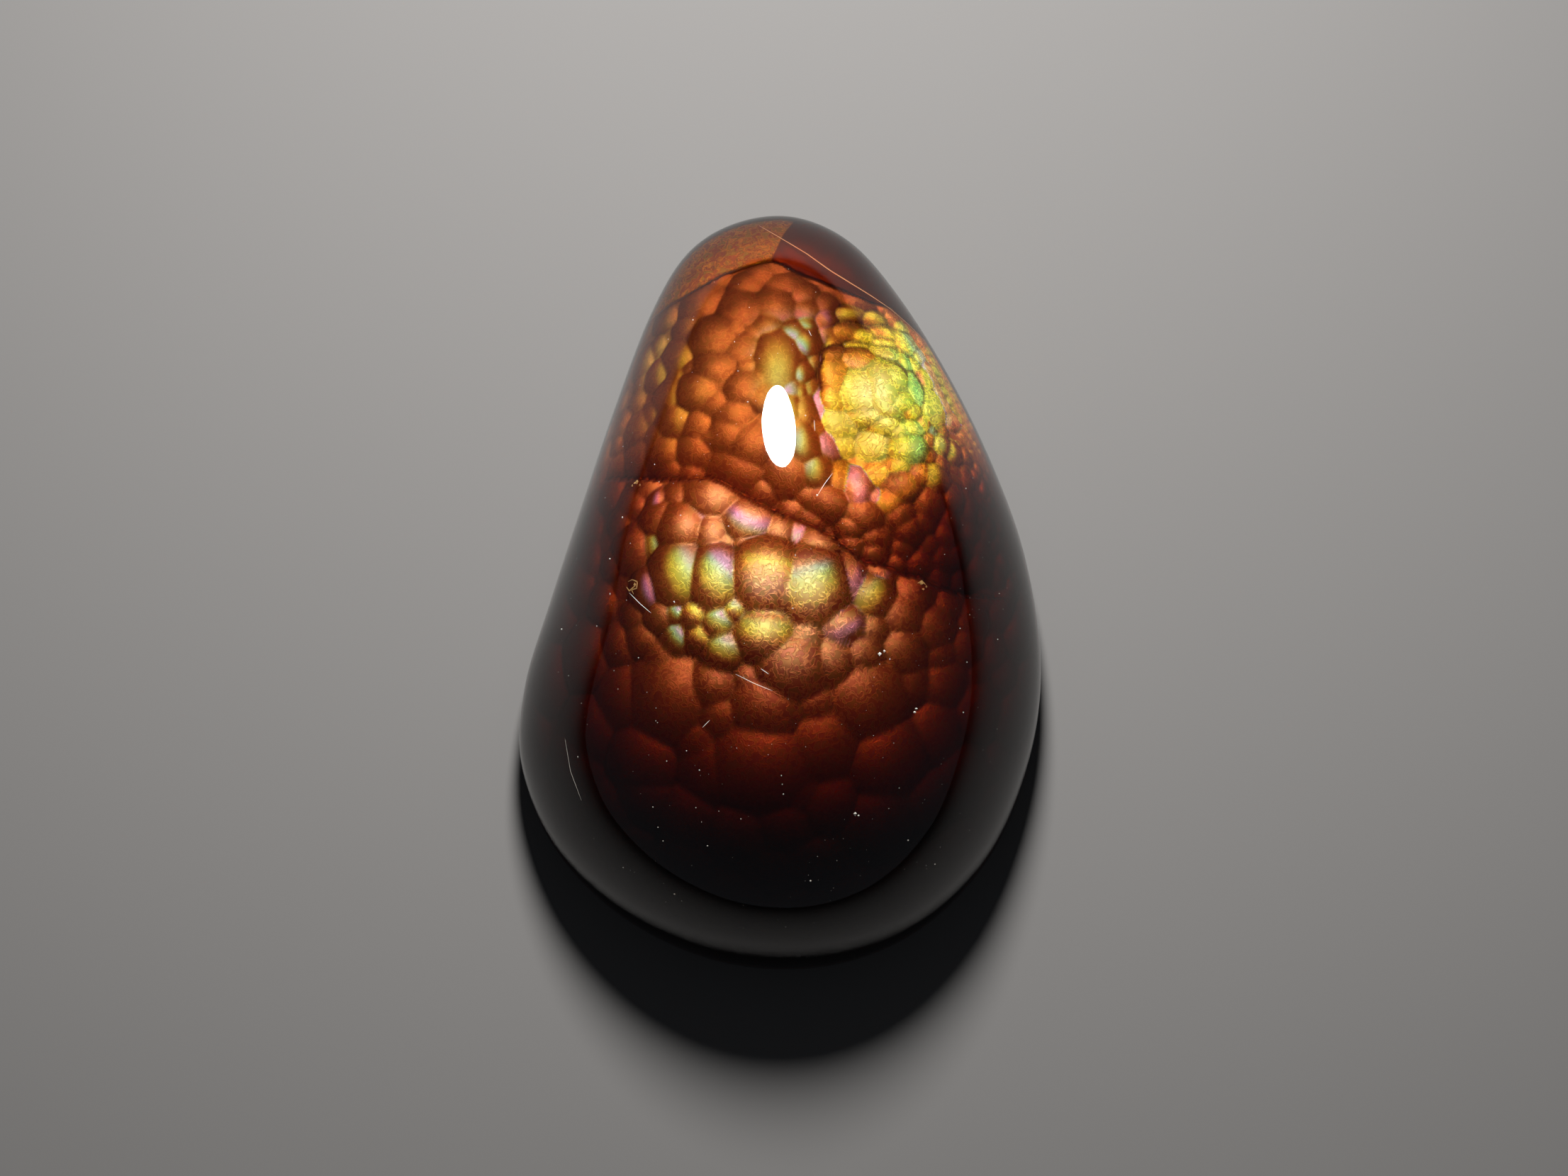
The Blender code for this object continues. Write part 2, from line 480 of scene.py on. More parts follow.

# %% [markdown]
# ## The bubbles
#
# Chalcedony grows outwards from many seeds at once, so the layer is a field of round caps that
# meet in sharp creases. The highest of all caps at a place is the surface there. The main bubbles
# are listed one by one, and seeded random ones fill the field between them.
#
# Most of them have a film of one even thickness, which looks copper. On the fiery ones the film is
# thicker, and its colour changes with the slant at which light meets it, as in a soap bubble, so
# bands of gold, green, teal and violet cross the bubble.

# %% Copper bubbles
# Each row: x, y, half width, half height, lift above the base
COPPER_BUBBLES = np.array([
    # under the roof line, on the left
    (-2.19, 7.97, 0.62, 0.62, 0), (-1.12, 7.8, 0.55, 0.55, 0.04), (-0.37, 7.37, 0.32, 0.32, 0.04),
    (-1.87, 7.05, 0.62, 0.55, 0.05), (-1.07, 6.73, 0.5, 0.5, 0), (-3.4, 6.75, 0.32, 0.32, 0),
    (-2.45, 6.15, 0.32, 0.32, 0), (-2.33, 5.53, 0.48, 0.45, 0.07), (-1.6, 5.72, 0.28, 0.28, 0),
    (-1.8, 5.17, 0.42, 0.42, 0), (-1.0, 5.6, 0.45, 0.45, 0.05), (-1.3, 4.8, 0.48, 0.48, 0.02),
    (-2.27, 4.53, 0.44, 0.44, 0), (-2.97, 4.7, 0.42, 0.42, 0.04), (-3.95, 5.25, 0.32, 0.32, 0),
    (-1.47, 4.23, 0.45, 0.45, 0.05), (-2.33, 3.8, 0.55, 0.5, 0), (-3.27, 3.75, 0.5, 0.45, 0.03),
    (-3.4, 4.3, 0.36, 0.36, 0), (-0.85, 3.95, 0.55, 0.55, 0.05), (-1.2, 3.3, 0.7, 0.6, 0),
    (-3.95, 4.5, 0.42, 0.42, 0.03), (-3.9, 3.6, 0.5, 0.5, 0), (-4.35, 4.6, 0.42, 0.42, 0),
    (-0.15, 7.95, 0.5, 0.55, 0.03), (0.1, 8.45, 0.5, 0.4, 0), (-0.9, 8.45, 0.45, 0.4, 0),
    (-1.83, 6.17, 0.5, 0.45, 0.05), (-1.85, 4.2, 0.3, 0.28, 0.04),
    (-3.17, 7.57, 0.45, 0.4, 0.02), (-2.8, 6.5, 0.42, 0.46, 0.04), (-3.4, 5.97, 0.33, 0.36, 0.04),
    (-3.03, 5.4, 0.42, 0.5, 0.03), (-3.57, 4.85, 0.32, 0.36, 0), (-0.1, 6.4, 0.48, 0.9, 0.06),
    # in the strip in the middle, and round the bright cluster
    (1.05, 6.25, 0.24, 0.24, 0), (0.83, 4.9, 0.33, 0.4, 0.04), (0.1, 4.1, 0.45, 0.5, 0),
    (0.2, 3.2, 0.6, 0.6, 0), (0.75, 7.8, 0.4, 0.35, 0), (0.6, 8.2, 0.42, 0.35, 0),
    (1.3, 2.45, 0.6, 0.5, 0), (2.3, 2.15, 0.55, 0.5, 0), (1.45, 7.05, 0.3, 0.36, 0),
    # just below the ledge
    (-1.86, 2.72, 0.66, 0.6, 0.06), (-2.76, 2.65, 0.4, 0.4, 0), (-4.65, 2.7, 0.48, 0.48, 0),
    (-1.3, 2.05, 0.4, 0.45, 0), (-2.74, 1.78, 0.46, 0.5, 0.13), (-1.9, 1.62, 0.42, 0.5, 0.03),
    (-0.02, 1.75, 0.42, 0.42, 0.02), (1.08, 1.35, 0.55, 0.5, 0.02), (-0.91, 1.28, 0.38, 0.38, 0),
    (-1.48, 1.38, 0.28, 0.3, 0), (-4.4, 1.95, 0.4, 0.4, 0), (-4.6, 0.75, 0.36, 0.36, 0),
    # below the great bubbles
    (0.74, -1.1, 0.55, 0.52, 0), (-3.25, -0.62, 0.4, 0.38, 0.1), (-3.8, -1.25, 0.42, 0.42, 0.04),
    (-3.95, -0.68, 0.44, 0.44, 0), (-4.9, -0.35, 0.48, 0.48, 0.02), (0.36, -1.98, 0.84, 0.84, 0.08),
    (1.45, -1.85, 0.66, 0.66, 0.03), (-0.85, -2.35, 0.42, 0.42, 0), (-1.9, -2.55, 0.58, 0.55, 0.03),
    (-0.37, -3.2, 0.85, 0.8, 0.05), (2.45, -2.9, 0.92, 0.9, 0.06), (-1.66, -3.4, 0.55, 0.55, 0.03),
    (-0.55, -4.8, 1.1, 1.0, 0.12), (3.05, -4.65, 0.95, 0.9, 0.08), (-2.25, -4.05, 0.62, 0.62, 0),
    (0.95, -3.0, 0.6, 0.6, 0), (-3.85, -4.6, 0.9, 0.8, 0.05), (-3.3, -1.75, 0.45, 0.45, 0),
    (-4.5, -1.45, 0.5, 0.5, 0.03), (3.4, -0.6, 0.6, 0.6, 0), (3.4, -1.6, 0.6, 0.6, 0.03),
    (4.3, -0.9, 0.6, 0.6, 0.02), (5.25, -0.75, 0.6, 0.6, 0), (2.5, -1.0, 0.42, 0.42, 0.03),
])

# %% Fiery bubbles
# Each row: x, y, half width, half height, lift, and the film's index from 0 to 1 at its top
FIERY_BUBBLES = np.array([
    # the great bubbles of the lower field
    (-2.8, 0.46, 0.64, 0.76, 0.13, 0.62), (-1.76, 0.38, 0.61, 0.75, 0.16, 0.55),
    (-0.36, 0.46, 0.86, 0.88, 0.14, 0.8), (0.05, 0.28, 0.72, 0.74, 0.1, 0.74),
    (0.42, 0.22, 0.72, 0.72, 0.1, 0.6),
    (0.84, 0.2, 0.86, 0.92, 0.14, 0.53), (1.88, 0.38, 0.46, 0.65, 0.04, 0.17),
    (2.52, -0.05, 0.56, 0.56, 0.04, 0.62), (2.75, 0.55, 0.42, 0.4, 0.0, 0.12),
    (-3.6, 0.06, 0.38, 0.45, 0.12, 0.3), (-0.42, -1.1, 0.76, 0.72, 0.05, 0.64),
    (1.7, -0.88, 0.6, 0.55, 0.04, 0.16), (-1.56, -1.55, 0.46, 0.44, 0.1, 0.58),
    (-1.7, -0.76, 0.42, 0.42, 0.1, 0.52), (-1.25, -0.44, 0.28, 0.28, 0.14, 0.58),
    (-2.33, -0.6, 0.34, 0.32, 0.13, 0.76), (-2.2, -1.17, 0.38, 0.36, 0.08, 0.74),
    (-2.82, -0.54, 0.28, 0.28, 0.12, 0.49), (-2.85, -1.18, 0.36, 0.4, 0.06, 0.5),
    # just below the ledge
    (-0.85, 1.98, 0.6, 0.55, 0.05, 0.31), (-2.17, 2.15, 0.36, 0.36, 0.0, 0.28),
    (0.52, 1.62, 0.28, 0.36, 0.02, 0.38), (-3.38, 2.5, 0.22, 0.28, 0.04, 0.3),
    (-3.5, 1.34, 0.3, 0.4, 0.02, 0.56), (-2.8, 2.22, 0.3, 0.3, 0.0, 0.22),
    # the shimmering strip in the middle
    (0.42, 6.5, 0.24, 0.28, 0.0, 0.4), (0.72, 6.88, 0.3, 0.32, 0.03, 0.48),
    (0.35, 7.15, 0.3, 0.32, 0.02, 0.42), (0.62, 6.02, 0.27, 0.27, 0.02, 0.42),
    (0.97, 5.55, 0.27, 0.27, 0.02, 0.46), (0.3, 5.6, 0.28, 0.28, 0.0, 0.36),
    (0.6, 5.52, 0.22, 0.24, 0.0, 0.48), (0.2, 5.0, 0.4, 0.45, 0.0, 0.54),
    (0.7, 4.05, 0.32, 0.42, 0.1, 0.44), (1.34, 4.05, 0.32, 0.42, 0.06, 0.28),
    (1.04, 3.3, 0.34, 0.38, 0.08, 0.48), (1.3, 5.06, 0.24, 0.42, 0.14, 0.24),
    (0.73, 7.38, 0.26, 0.26, 0.0, 0.48), (1.3, 7.52, 0.3, 0.28, 0.02, 0.17),
    # the bright cluster on the right: its great dome, and what stands on it
    (2.52, 5.48, 1.22, 1.15, 0.02, 0.64), (2.97, 5.8, 0.27, 0.27, 0.5, 0.66),
    (2.8, 6.42, 0.38, 0.28, 0.21, 0.62), (3.32, 6.2, 0.22, 0.34, 0.19, 0.58),
    (3.5, 5.52, 0.24, 0.44, 0.35, 0.58), (2.12, 6.14, 0.38, 0.3, 0.39, 0.9),
    (2.16, 5.4, 0.38, 0.5, 0.52, 0.72), (1.66, 5.7, 0.3, 0.44, 0.41, 0.86),
    (2.62, 5.5, 0.36, 0.6, 0.56, 0.66), (3.12, 5.2, 0.3, 0.22, 0.46, 0.66),
    (2.76, 4.98, 0.28, 0.2, 0.48, 0.64), (3.4, 5.0, 0.24, 0.2, 0.35, 0.74),
    (1.62, 5.22, 0.28, 0.3, 0.37, 0.84), (2.3, 4.8, 0.4, 0.24, 0.4, 0.72),
    (2.7, 4.6, 0.38, 0.26, 0.33, 0.68), (3.05, 4.44, 0.4, 0.28, 0.22, 0.62),
    (3.46, 4.5, 0.36, 0.28, 0.17, 0.6), (3.76, 4.78, 0.28, 0.32, 0.15, 0.8),
    (1.62, 6.24, 0.26, 0.26, 0.28, 0.92),
    # its right side
    (3.62, 6.2, 0.24, 0.24, 0.1, 0.62), (3.95, 5.85, 0.3, 0.29, 0.12, 0.76),
    (3.85, 5.56, 0.28, 0.2, 0.08, 0.64), (3.78, 6.5, 0.26, 0.24, 0.04, 0.52),
    (4.08, 5.12, 0.56, 0.52, 0.1, 0.68), (4.16, 5.3, 0.18, 0.26, 0.14, 0.66),
    (4.12, 6.0, 0.2, 0.36, 0.1, 0.13), (4.3, 5.56, 0.2, 0.28, 0.1, 0.13),
    (4.46, 5.12, 0.3, 0.3, 0.08, 0.15), (4.66, 4.76, 0.4, 0.27, 0.04, 0.13),
    # below it
    (1.74, 4.72, 0.36, 0.42, 0.27, 0.66), (1.84, 4.22, 0.34, 0.44, 0.13, 0.72),
    (2.5, 4.15, 0.46, 0.52, 0.16, 0.62), (3.35, 3.98, 0.5, 0.38, 0.17, 0.57),
    (3.12, 3.48, 0.42, 0.26, 0.08, 0.68), (2.6, 3.3, 0.42, 0.36, 0.06, 0.78),
    (2.2, 3.55, 0.3, 0.26, 0.04, 0.82), (3.3, 2.95, 0.5, 0.42, 0.06, 0.84),
    (3.74, 3.25, 0.34, 0.3, 0.06, 0.84), (4.28, 3.12, 0.36, 0.32, 0.08, 0.68),
    (4.42, 4.05, 0.22, 0.19, 0.12, 0.62), (4.76, 3.84, 0.22, 0.2, 0.1, 0.66),
    (4.02, 4.22, 0.24, 0.2, 0.05, 0.88), (4.1, 4.47, 0.15, 0.14, 0.08, 0.54),
    (4.42, 4.47, 0.2, 0.18, 0.04, 0.9), (5.02, 4.3, 0.2, 0.18, 0.02, 0.95),
    (4.05, 3.75, 0.26, 0.24, 0.02, 0.94), (4.4, 3.55, 0.24, 0.22, 0.02, 0.92),
    (1.7, 3.15, 0.42, 0.45, 0.03, 0.8), (2.12, 2.95, 0.26, 0.44, 0.14, 0.25),
    (2.56, 2.62, 0.26, 0.22, 0.05, 0.22), (2.95, 2.5, 0.36, 0.34, 0.05, 0.8),
    (4.1, 2.45, 0.42, 0.38, 0.04, 0.96), (4.75, 2.6, 0.34, 0.32, 0.04, 0.96),
    # the terraces above it
    (1.98, 7.62, 0.38, 0.22, 0.06, 0.72), (2.55, 7.52, 0.32, 0.2, 0.07, 0.66),
    (3.3, 7.33, 0.2, 0.16, 0.04, 0.6), (1.9, 7.1, 0.4, 0.26, 0.08, 0.84),
    (2.25, 7.0, 0.34, 0.2, 0.12, 0.74), (2.85, 7.1, 0.34, 0.18, 0.1, 0.66),
    (2.1, 6.62, 0.38, 0.2, 0.12, 0.76), (2.8, 6.82, 0.36, 0.14, 0.12, 0.68),
    (3.4, 6.85, 0.32, 0.3, 0.1, 0.54), (1.6, 6.7, 0.22, 0.5, 0.06, 0.8),
    # the small bright ones along the right edge
    (4.08, 6.7, 0.3, 0.15, -0.03, 0.87), (4.2, 6.42, 0.3, 0.15, -0.03, 0.89),
    (4.28, 6.12, 0.3, 0.16, -0.03, 0.85), (4.4, 5.86, 0.28, 0.14, -0.03, 0.89),
    (4.46, 5.58, 0.3, 0.16, -0.03, 0.85), (4.68, 5.7, 0.28, 0.13, -0.03, 0.91),
    (4.62, 5.3, 0.28, 0.15, -0.03, 0.87), (4.82, 5.42, 0.28, 0.13, -0.03, 0.89),
    (4.76, 5.04, 0.28, 0.14, -0.03, 0.89), (4.97, 5.14, 0.26, 0.12, -0.03, 0.91),
    (4.96, 4.8, 0.28, 0.14, -0.03, 0.87), (5.14, 4.88, 0.26, 0.12, -0.03, 0.89),
    (5.14, 4.56, 0.26, 0.13, -0.03, 0.89), (5.3, 4.62, 0.24, 0.11, -0.03, 0.87),
    (5.28, 4.32, 0.24, 0.12, -0.03, 0.91), (5.42, 4.1, 0.24, 0.11, -0.03, 0.89),
    (5.3, 3.88, 0.24, 0.11, -0.03, 0.89), (5.54, 3.9, 0.22, 0.1, -0.03, 0.87),
])
print(len(COPPER_BUBBLES), "copper bubbles and", len(FIERY_BUBBLES), "fiery ones")

# %% Filling bubbles
rng = np.random.default_rng(7)
# Two bubbles stand at least this share of their radii's sum apart, so they still overlap.
SPACING = 0.62


def usual_radius(x, y):
    """Small bubbles near the upper right edge, middling ones above the ledge, wide ones below."""
    above = above_ledge(x, y)
    size = np.where(above > 0, 0.36, np.clip(0.45 - 0.09 * above, 0.45, 0.95))
    edge = step_up(x + 0.45 * y, 5.6, 7.0) * (above > 0)
    return size * (1 - 0.62 * edge)


def fill_between(taken, tries=6000):
    """Throws random places at the field, and keeps one where no bubble is nearer than its size."""
    kept = [tuple(row) for row in taken]
    for x, y in rng.uniform((-7.3, -10.5), (7.3, 10.5), (tries, 2)):
        if share_out(x, y) > LAYER_EDGE:
            continue
        radius = float(usual_radius(x, y)) * rng.uniform(0.8, 1.2)
        near = np.array(kept)
        reach = near[:, 2:4].mean(axis=1) + radius
        if (np.hypot(near[:, 0] - x, near[:, 1] - y) > SPACING * reach).all():
            kept.append((x, y, radius, radius, rng.uniform(-0.03, 0.05), 0))
    return np.array(kept)


plain = np.column_stack([COPPER_BUBBLES, np.zeros(len(COPPER_BUBBLES))])
BUBBLES = fill_between(np.concatenate([plain, FIERY_BUBBLES]))
print(len(BUBBLES), "bubbles in all")

# %% [markdown]
# ## The fire layer
#
# The layer and the dark body under it are one closed piece inside the skin. Its top is the bubbly
# sheet, its side follows the stone's side a little way in, and its flat back lies just above the
# skin's, so that the two never touch.

# %% How the bubbles bulge
# How softly a seam is rounded, and how far under a bubble's foot the bare base counts as a cap
SEAM, BARE_BASE = 0.008, 0.05


def bubble_lean(x, y, wide):
    """How steep a bubble is at its foot: hammered metal nearly everywhere, round in the middle.

    In the bright cluster only the great dome is steep, and the flakes on it lie flat.
    """
    middle = hill(x, y, (-0.5, -0.1), (3.0, 1.9))
    return np.radians(22 + 24 * middle + golden_part(x, y) * np.where(wide > 1, 20, 8))


def bubble_field(base, x, y):
    """(height above the base, fire, film) at each point, from the caps that reach it.

    A cap of radius r is the top of a sphere of radius 1.25 * r / sin(lean). The distance is
    measured in space, so that bubbles stay round on the dome's flanks, and an oval bubble squeezes
    it along y. A bubble stays on its own side of the ledge, but at its two ends. The height is the
    highest cap, with its seams slightly rounded: SEAM * log(sum(exp(cap / SEAM))). The fire and
    the film are averages weighted by the same powers, the film over the fiery bubbles only.
    Outside the bright cluster the fire fades towards a bubble's foot.
    """
    total = np.full(len(base), math.exp(-BARE_BASE / SEAM))
    fire, film = np.zeros(len(base)), np.zeros(len(base))
    upper = above_ledge(x, y) > 0
    open_end = (x < -4.5) | (x > 4.2)
    bx, by = BUBBLES[:, 0], BUBBLES[:, 1]
    faded = 0.85 * (1 - golden_part(bx, by))
    leans = bubble_lean(bx, by, BUBBLES[:, 2])
    traits = zip(layer_base(bx, by), leans, above_ledge(bx, by) > 0, faded)
    for (centre, lean, side, patchy), (_, _, wide, tall, lift, index) in zip(traits, BUBBLES):
        away = base - centre
        apart = np.sqrt(np.sum(away**2, axis=1) - away[:, 1] ** 2 * (1 - (wide / tall) ** 2))
        near = (apart < 2.2 * wide) & ((upper == side) | open_end)
        sphere = 1.25 * wide / math.sin(lean)
        cap = np.sqrt(np.maximum(sphere**2 - apart[near] ** 2, 0)) - sphere * math.cos(lean) + lift
        power = np.exp(cap / SEAM)
        total[near] += power
        power *= 1 - patchy * np.clip(apart[near] / (1.1 * wide), 0, 1) ** 3
        fire[near] += (index > 0) * power
        film[near] += index * power
    return SEAM * np.log(total), fire / total, film / np.maximum(fire, 1e-9)


def relief(points, rows):
    """(normal, hollow) of a sheet of points in a grid of so many rows.

    The normal is the cross product of the grid's two directions. The hollow is the curvature in
    turns of the normal per millimetre, summed over both directions, above 0 where it is concave.
    """
    grid = points.reshape(rows, -1, 3)
    steps = [np.gradient(grid, axis=axis) for axis in (0, 1)]
    normal = unit(np.cross(*steps), 1e-12)
    hollow = 0
    for axis, step in enumerate(steps):
        turn = np.gradient(normal, axis=axis)
        hollow -= np.sum(turn * step, axis=-1) / np.maximum(np.sum(step**2, axis=-1), 1e-9)
    return normal.reshape(-1, 3), hollow.ravel()


# %% How the film shines
# The film's index and its colour: copper, pink, violet, teal, green, gold and back to copper
FILM_COLOURS = [
    (0.00, "#B4662F"), (0.14, "#EAA480"), (0.21, "#F6A8D8"), (0.27, "#E4A4FF"), (0.33, "#BDB4FF"),
    (0.40, "#8CE4D4"), (0.48, "#9CE47C"), (0.57, "#D2E44C"), (0.66, "#F6F044"), (0.76, "#E8A82C"),
    (0.86, "#A86E28"), (1.00, "#884A1C"),
]
# Lit and shaded copies of the copper and gold ground: painted highlight where a facet mirrors the
# lamp, painted shade where it turns away
LIT_COPPER, SHADED_COPPER = "#9A5829", "#6E3313"
LIT_GOLD, SHADED_GOLD = "#B07820", "#5D3309"
TIP_GOLD, TIP_RED = "#7E4604", "#380A01"
# The cream is the pale colour of the painted highlight, where a facet mirrors the lamp.
HIGHLIGHT_CREAM, DARK_JASPER, BROWN_JASPER = "#F6D2AC", "#140401", "#4A1E0C"
# The crease in the clear tip: golden on its left, dark red-brown on its right
TIP_CREASE = np.array([(-0.24, 9.16), (-0.03, 9.65), (0.09, 9.91), (0.43, 10.37)])


def linear(code):
    """An sRGB hex value as an array of linear red, green and blue."""
    return np.array(colour(code)[:3])


def between(first, second, share):
    """The first colours where the share is 0, and the second where it is 1."""
    return first + (second - first) * share[:, None]


def film_colour(index):
    """The colour of the listed film of this index, or the blend of the two nearest ones."""
    places, codes = zip(*FILM_COLOURS)
    return np.stack([np.interp(index, places, c) for c in zip(*map(linear, codes))], axis=-1)


def fire_and_painted_shade(x, y):
    """How much of the layer's colour is left: 1 where the layer shines and 0 where only dark jasper
    is left, with soft edges.

    It fades towards the flanks, in a patch right of the middle and under the roof line. Towards the
    wide end it is darker where the fire thins and as painted shade for the lamp's light falling
    off, and the slope that comes down to the ledge gets painted shade, as it turns away from the
    lamp.
    """
    # Darker towards the wide end: the fire thins there, and painted shade stands for the lamp's light
    # falling off.
    low = np.clip((y + 8.5) / 7.5, 0, 1) ** 1.6
    flank = 0.92 * step_up(share_out(x, y), 0.33, 1.0) * (1 - step_up(y, 2.0, 4.5))
    shade = 0.5 * hill(x, y, (5.0, 0.8), (2.6, 1.8)) + 0.38 * step_up(y, 6.3, 8.5)
    above = above_ledge(x, y)
    # Painted shade on the slope down to the ledge, which turns away from the lamp.
    ledge_shade = np.where(above > 0, 0.25 * np.exp(-np.maximum(above, 0)), 0)
    ledge_shade *= ledge_part(share_out(x, y))
    return low * (1 - flank) * (1 - shade) * (1 - ledge_shade)


# Where the layer's colour is painted brighter, as painted light: middle, widths and gain
LIGHT_POOLS = [
    ((-2.2, 3.6), (2.6, 2.2), 0.5),
    ((1.3, 4.6), (0.3, 1.0), 1.5),
    ((2.2, 2.8), (0.6, 0.5), 0.7),
    ((-1.6, 2.2), (2.6, 1.0), 0.4),
    ((2.35, 5.3), (0.75, 1.5), 0.9),
    ((1.4, 4.4), (0.7, 0.6), 0.4),
    ((0.6, 5.4), (0.5, 2.2), 0.4),
    ((-0.5, -0.1), (2.8, 1.5), 0.75),
]


def light_pool_gain(x, y):
    """How much brighter the layer is painted, from 1 up: 1 plus the hills of the list."""
    return 1 + sum(painted_light_gain * hill(x, y, middle, widths) for middle, widths, painted_light_gain in LIGHT_POOLS)


# Where a faint film covers whole groups of bubbles: x, y, half width, half height, index, strength
GLOWS = [
    (-3.0, 5.9, 0.7, 1.5, 0.78, 0.40), (-0.1, 6.2, 0.5, 1.0, 0.54, 0.62),
    (0.75, 6.4, 0.5, 1.1, 0.46, 0.50), (0.75, 4.8, 0.4, 1.2, 0.50, 0.45),
]


def with_glows(x, y, fire, film):
    """Adds the faint films where there is no fire yet, and averages the index by strength."""
    for at_x, at_y, wide, tall, index, strength in GLOWS:
        glow = strength * hill(x, y, (at_x, at_y), (wide, tall)) * (1 - fire)
        film = (film * fire + index * glow) / np.maximum(fire + glow, 1e-9)
        fire = fire + glow
    return fire, film


# %% What the lamp shows of the film
# The part with the great round bubbles: its middle and its widths
MIDDLE, MIDDLE_WIDTHS = (0.2, -0.3), (2.8, 2.4)
# The index that the film loses for each unit of lean
INDEX_PER_LEAN = 0.75
# How far off the mirrored lamp a facet still shines, in radians, and how much farther if wrinkled
SHINE_WIDTH, WRINKLED_WIDTH = 0.42, 0.22
# What the fade and the painted shade do to red, green and blue: powers of the strength, above the
# middle and below it
DIM_ABOVE, DIM_BELOW = np.array((1, 1.6, 1.7)), np.array((1, 2.2, 2.5))


def lean_to_lamp(facet, normal, mirror):
    """How far a facet leans from the dome's normal towards the one that mirrors the lamp."""
    return np.sum((facet - normal) * unit(mirror - normal, 0.12), axis=1)


def facing_lamp(facet, mirror, middle, wrinkled):
    """1 on a facet that mirrors the lamp to the eye, falling off as a bell of the angle between.

    On the great round bubbles the shine lies a little lower than that, as in the photograph.
    """
    aim = unit(mirror - 0.16 * middle[:, None] * (0, 1, 0))
    off = np.arccos(np.clip(np.sum(facet * aim, axis=1), -1, 1))
    return np.exp(-((off / (SHINE_WIDTH + WRINKLED_WIDTH * wrinkled)) ** 2))


def film_index(film, lean, middle, golden, twin):
    """The film's index at a facet, which falls as the facet leans more to the lamp.

    In the bright cluster it rises instead, and faster past a lean of 0.3.
    """
    falling = -INDEX_PER_LEAN * np.clip(lean, -0.4, 0.35 - 0.1 * middle - 0.1 * twin)
    past = np.clip(lean - 0.3, -0.3, 0.3)
    rising = 0.3 * past + 0.25 * np.maximum(past, 0)
    return np.clip(film + falling + (rising - falling) * step_up(golden, 0.0, 0.5), 0, 1)


def film_seen(lean, middle, golden, twin):
    """1 where the film's colour is painted, as a painted sheen: on the side of a bubble that leans to
    the lamp.

    On the great twin bubble it stops again short of the upper edge, so a band is left. In the
    bright cluster it shows all over.
    """
    seen = step_up(lean, -0.25 - 0.15 * middle, 0.15 - 0.15 * middle)
    return (seen + (1 - seen) * golden) * (1 - 0.9 * twin * step_up(lean, 0.12, 0.34))


def tint(x, y, fire, film, facet, hollow, inside, normal):
    """The layer's colour at each point, and how wrinkled it is there, from 0 to 1.

    A film that is seen at a slant has another colour, so bands of colour cross each bubble. The
    lamp's light and shade are painted into the colour: a facet that mirrors the lamp is painted
    lighter and paler and takes the film's colour, one that turns away is painted darker, and the
    seams get painted shade. In the bright cluster the layer lies deeper, and its colours make up
    for what the skin takes there from the light on its way in and out.
    """
    fire, film = with_glows(x, y, fire, film)
    middle, golden = hill(x, y, MIDDLE, MIDDLE_WIDTHS), golden_part(x, y)
    wrinkled = np.maximum(middle, golden)
    twin = step_up(middle, 0.1, 0.4) * step_up(x, -1.3, -0.9)
    beads = np.sqrt(golden) * step_up(share_out(x, y), 0.88, 0.93)
    mirror = mirror_normal(inside, normal)
    lean = lean_to_lamp(facet, normal, mirror)
    # The beads on the right rim are too small for the mesh, so each gets a painted highlight all
    # over.
    painted_shine = facing_lamp(facet, mirror, middle, wrinkled)
    painted_shine += np.maximum(0.8 - painted_shine, 0) * beads
    # The ground is painted from its shaded copy to its lit one as the facet turns to mirror the lamp.
    copper = between(linear(SHADED_COPPER), linear(LIT_COPPER), painted_shine)
    gold = between(linear(SHADED_GOLD), linear(LIT_GOLD), painted_shine)
    ground = between(copper, gold, np.maximum(golden, 0.15 * middle))
    film_tint = film_colour(film_index(film, lean, middle, golden, twin))
    strength = fire * film_seen(lean, middle, golden, twin) * (0.72 + 0.28 * golden)
    strength *= step_up(painted_shine + 0.2 * golden, 0.15, 0.7)
    shown = between(ground, film_tint * (0.78 + 0.22 * golden)[:, None], strength)
    # A facet that mirrors the lamp straight on gets a pale painted highlight in cream.
    pale = 0.42 * middle + 0.16 * golden + 0.22 * hill(x, y, (-1.6, 2.2), (2.2, 1.0))
    shown = between(shown, linear(HIGHLIGHT_CREAM), pale * painted_shine**4)
    shown /= CLEAR_SHARE ** (2.0 * golden * (layer_depth(x, y) - BASE_DEPTH))[:, None]
    # Painted light: the cluster, its right side and the rim beads are painted brighter, times the
    # pools of the list.
    painted_light_gain = 1 + 0.15 * golden + 2.0 * np.sqrt(golden) * step_up(x, 3.4, 4.6) + beads
    shown = np.minimum(shown * (painted_light_gain * light_pool_gain(x, y))[:, None], 1.0)
    # Seams get painted shade, the darker the more hollow they are.
    crease_shade = hollow / (20 - 12 * golden - 5 * middle)
    shown *= 1 - np.clip(crease_shade, 0, 0.6 - 0.05 * golden)[:, None]
    # The fade and the painted shade darken green and blue faster than red, so the shaded parts are
    # redder.
    dim = between(DIM_ABOVE, DIM_BELOW, 1 - step_up(y, 2.0, 5.0))
    shown *= fire_and_painted_shade(x, y)[:, None] ** dim
    # Over the roof line the clear tip shows its own ground.
    roof = over_roof(x, y)
    left = 1 - step_up(x - np.interp(y, TIP_CREASE[:, 1], TIP_CREASE[:, 0]), -0.02, 0.02)
    shown = between(shown, between(linear(TIP_RED), linear(TIP_GOLD), left), roof)
    shown = np.maximum(shown, linear(DARK_JASPER))
    return np.column_stack([shown, (1 - roof) * (0.3 + 0.7 * wrinkled) + 0.9 * roof * left])


# %% Fire layer
LAYER_RINGS = 150
LAYER_ROWS = 6
SHEET_CENTRE = np.array((0.2, 2.2))
# How far inside the skin the layer stays, in millimetres
SKIN_GAP = 0.05


